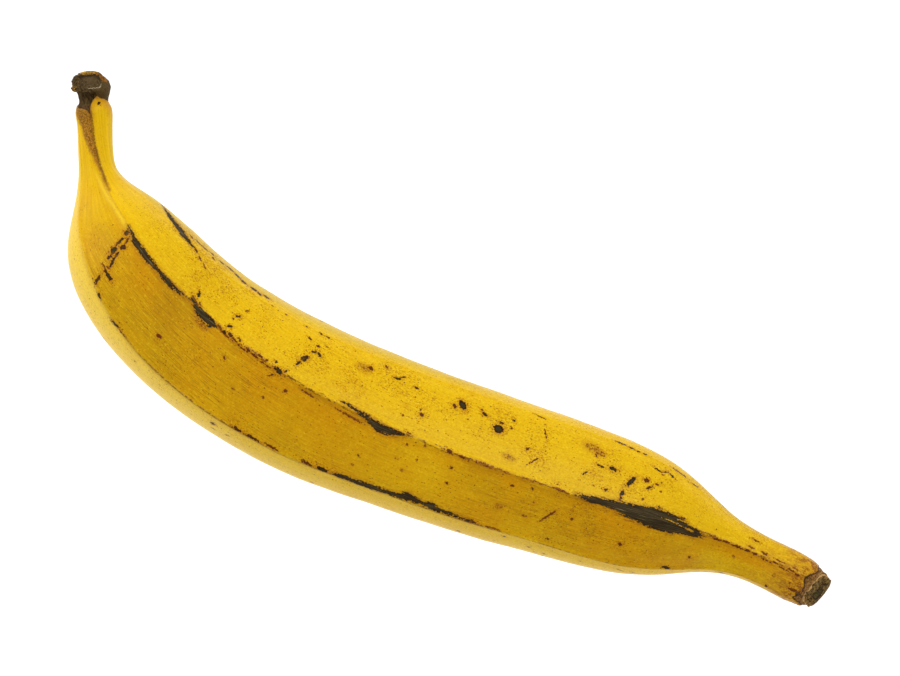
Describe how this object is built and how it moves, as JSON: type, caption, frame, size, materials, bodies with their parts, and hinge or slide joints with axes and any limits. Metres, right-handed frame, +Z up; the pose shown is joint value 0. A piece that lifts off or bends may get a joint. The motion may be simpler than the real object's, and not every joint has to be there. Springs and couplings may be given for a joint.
{
  "type": "plantain",
  "caption": "Ripe plantain lying on its side: a long, ridged, gently bent yellow fruit with its cut stalk and dry blossom tip.",
  "frame": {"origin": "on the surface that it rests on, under the middle of its box", "axes": "+X from the cut stalk towards the blossom tip, +Y towards the hollow of the bend, +Z up"},
  "size_m": [0.275, 0.073, 0.046],
  "materials": {
    "peel": "waxy satin skin, amber to bright yellow, with dark scars along its ridges and fine lengthwise fibres",
    "dry_end": "matt, dried and shrunken plant fibre at the stalk's cut and the blossom tip"
  },
  "bodies": {
    "root": {"plantain": "peel"}
  },
  "joints": []
}
